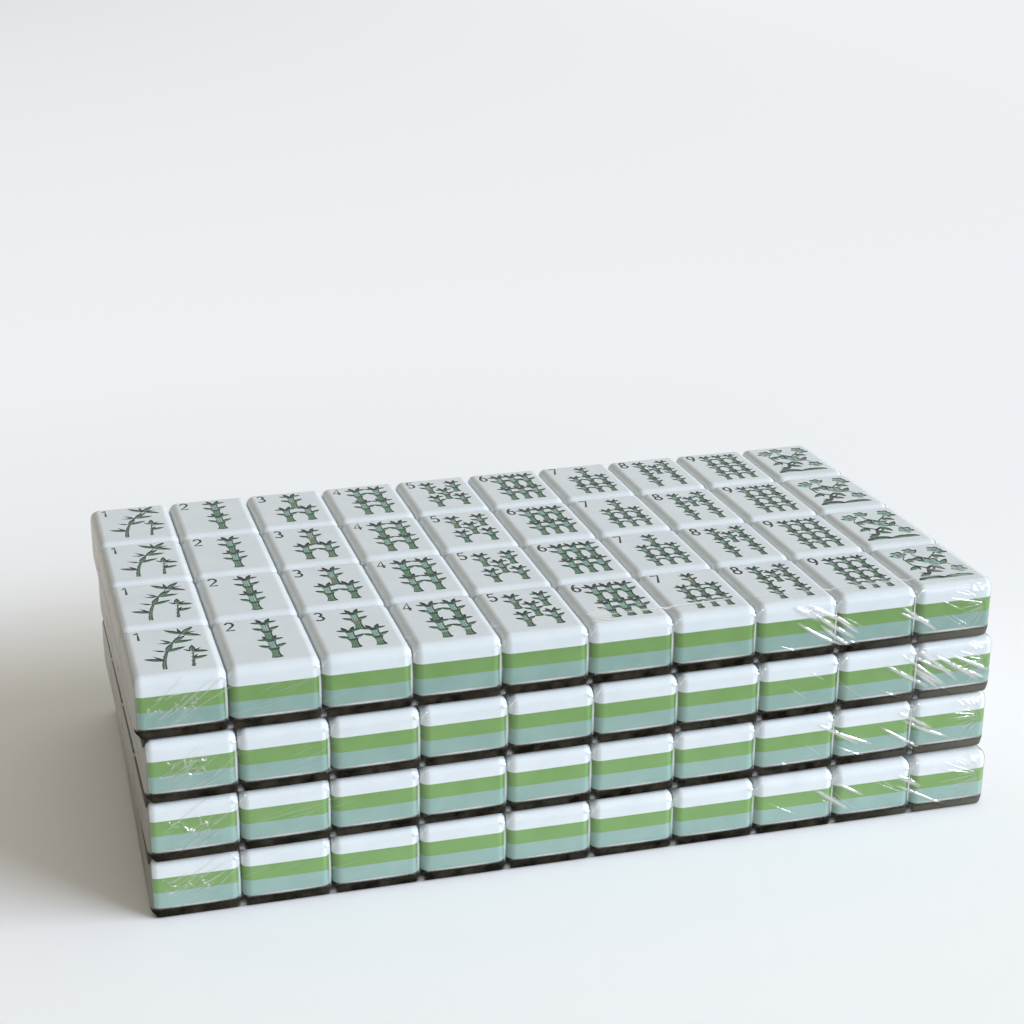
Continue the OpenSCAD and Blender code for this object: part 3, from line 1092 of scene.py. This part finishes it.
def pack_ridges(pack):
    """The wrinkles of one pack's film, side by side as (axis, sign)."""
    rng = random.Random(RIDGE_SEED + pack)
    low, high = FILM_LOW, FILM_HIGH
    step = COLUMN_STEP
    left, right = -FILM_W + ROLL_R, FILM_W - ROLL_R
    mid = (low + high) / 2
    many = LONG_STREAKS[pack]
    falling, rising, gentle = (-40, -22), (24, 44), (8, 26)
    x0, x1 = right - 2.5 * step, right - 9
    front = bridges(rng)
    front += streaks(rng, x0, x1, mid, high - 1, many, (8, 19), falling, (0.24, 0.42), 0.9)
    front += streaks(rng, x0 - 8, x1, low + 3, high - 2, 6, (6, 14), falling, (0.09, 0.15), 0.35)
    front += fan(rng, right + 0.8, mid + 1.5, 13, (6, 13), 120, 235, 0.12, 0.45)
    front += crackle(rng, left + 1, left + 0.55 * step, mid - 1.5, mid + 3.2, 26, 0.75)
    x0, x1 = left + 0.5 * step, left + 2 * step
    front += streaks(rng, left, x0, low + 1, mid, 9, (8, 17), rising, (0.09, 0.15), 0.45)
    front += streaks(rng, x0, x1, low + 1, mid + 3, 9, (6, 16), gentle, (0.08, 0.13), 0.18)
    top = fan(rng, right + 1, -FILM_D + 2.5, 10, (8, 20), 100, 178, 0.16, 0.5)
    top += fan(rng, 0.1, -FILM_D + 7, 8, (5, 10), -34, 24, 0.32, 0.8)
    seam = -FILM_D + 7.5
    for x0, x1, shine in ((-2.5, -0.4, 0.3), (0.3, 2, 0.9), (2, 4.9, 0.6)):
        sag = rng.uniform(-0.8, 0.8)
        top.append(Ridge((x0 * step, seam - 1.2), (x1 * step, seam), sag, 0.42, 0.09, shine, 30))
    seal = [Ridge((-FILM_D + 1, mid), (FILM_D - 1, mid), 0, 0.2, SEAL_H, 0.0, 40)]
    back = [Ridge((-FILM_W + 1, mid), (FILM_W - 1, mid), 0, 0.2, SEAL_H, 0.0, 60)]
    back += crackle(rng, right - 0.8 * step, right, mid - 2, mid + 3, 16, 0.6)
    return {(1, -1): front, (1, 1): back, (2, 1): top, (0, -1): seal, (0, 1): seal}


# Stage


def camera():
    """The camera where the photograph was taken from."""
    data = bpy.data.cameras.new("camera")
    data.lens = CAMERA_LENS
    data.sensor_width = SENSOR_W
    data.clip_start, data.clip_end = 0.01, 20
    obj = new_object("camera", data)
    obj.matrix_world = Matrix.Translation(Vector(CAMERA_AT) * MM)
    for angle, axis in ((CAMERA_AZIMUTH, "Z"), (90 - CAMERA_ELEVATION, "X"), (CAMERA_ROLL, "Z")):
        obj.matrix_world = obj.matrix_world @ Matrix.Rotation(math.radians(angle), 4, axis)
    bpy.context.scene.camera = obj


def soft_lamp(name, azimuth, elevation, distance, size, level):
    """A cool soft box. A surface square to it has this level, where 1 shows a colour as written."""
    data = bpy.data.lights.new(name, "AREA")
    data.shape = "RECTANGLE"
    data.size, data.size_y = size
    data.color = COOL_LIGHT
    data.energy = level * math.pi**2 * distance**2
    obj = new_object(name, data)
    a, e = math.radians(azimuth), math.radians(elevation)
    out = Vector((math.cos(a) * math.cos(e), math.sin(a) * math.cos(e), math.sin(e)))
    obj.location = out * distance
    obj.rotation_mode = "QUATERNION"
    obj.rotation_quaternion = out.to_track_quat("Z", "Y")


def world_light():
    """A warm room, dim but for its ceiling. Gloss shows bright walls on the right, grey on the left."""
    world = bpy.data.worlds.new("studio")
    bpy.context.scene.world = world
    world.use_nodes = True
    tree = world.node_tree
    tree.nodes.clear()
    way = add_node(tree, "TexCoord").outputs["Generated"]
    rise, right = part_of(tree, way, "Z"), part_of(tree, way, "X")
    low_dim = remap(tree, rise, 0, 0.8, 0.24, 0.56)
    dim = maths(tree, "MULTIPLY", low_dim, remap(tree, right, -0.9, 0.7, 0.54, 1.32))
    room = add_node(tree, "Background", WARM_LIGHT, dim)
    wall = mix_colours(tree, remap(tree, right, -0.9, 0.6), (0.42, 0.40, 0.37), (0.84, 0.87, 0.89))
    walls = add_node(tree, "Background", wall, 1.0)
    ray = add_node(tree, "LightPath").outputs
    seen = maths(tree, "MAXIMUM", ray["Is Camera Ray"], ray["Is Glossy Ray"])
    add_node(tree, "OutputWorld", mix_shaders(tree, seen, room, walls).outputs[0])


def floor_material():
    """A matt pale floor that turns into the plain background away from the object. The background is painted
    darker towards the back left as painted shade.
    """
    material, tree = new_material("studio_floor")
    matt = add_node(tree, "BsdfDiffuse", (0.9, 0.9, 0.9, 1))
    shown = add_node(tree, "BsdfDiffuse", (0.97, 0.985, 1.0, 1))
    # Painted shade: the plain background darkens towards the back left corner
    corner = maths(tree, "MULTIPLY", place_along(tree, "Y", 0.5, 2.6), place_along(tree, "X", 0.9, -0.1))
    tint = mix_colours(tree, corner, (0.855, 0.88, 0.905), (0.745, 0.765, 0.77))
    plain = add_node(tree, "Emission", tint, 1.0)
    coords = add_node(tree, "TexCoord").outputs["Object"]
    reach = add_node(tree, "VectorMath", coords, settings={"operation": "LENGTH"})
    far = remap(tree, reach.outputs["Value"], 0.19, 0.42)
    camera_ray = add_node(tree, "LightPath").outputs["Is Camera Ray"]
    by_ray = mix_shaders(tree, camera_ray, matt, mix_shaders(tree, far, shown, plain))
    add_node(tree, "OutputMaterial", by_ray.outputs[0])
    return material


def floor():
    """The floor that the pile lies on."""
    reach = 4.0
    corners = [(sx * reach, sy * reach, 0) for sx, sy in CORNER_SIGNS]
    make_object("floor", corners, [[0, 1, 2, 3]], [floor_material()])


def build():
    """The four packs. Their CAD plies only get a finish."""
    paints = [
        face_material(),
        paint("paint_dark_green", (0.008, 0.02, 0.015), (0.03, 0.058, 0.045)),
        paint("paint_leaf_green", (0.085, 0.24, 0.12), (0.2, 0.37, 0.19)),
        paint("paint_pale_aqua", (0.24, 0.47, 0.39), (0.42, 0.61, 0.54)),
        paint("paint_rust", (0.36, 0.12, 0.06), (0.5, 0.27, 0.17)),
    ]
    plies = {"green": green_material(), "aqua": aqua_material(), "back": back_material()}
    film = film_material()
    for pack in range(1, PACKS + 1):
        matrix = pack_matrix(pack)
        for kind, material in plies.items():
            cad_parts[f"pack_{pack}_{kind}_plies"].material_slots[0].material = material
        for column in range(1, COLUMNS + 1):
            carved_column(pack, column, matrix, paints)
        film_piece(pack, matrix, film, pack_ridges(pack))


bpy.context.scene.view_settings.view_transform = "Standard"
camera()
world_light()
soft_lamp("key", azimuth=-30, elevation=24.5, distance=6.0, size=(4.9, 1.9), level=1.17)
floor()
build()
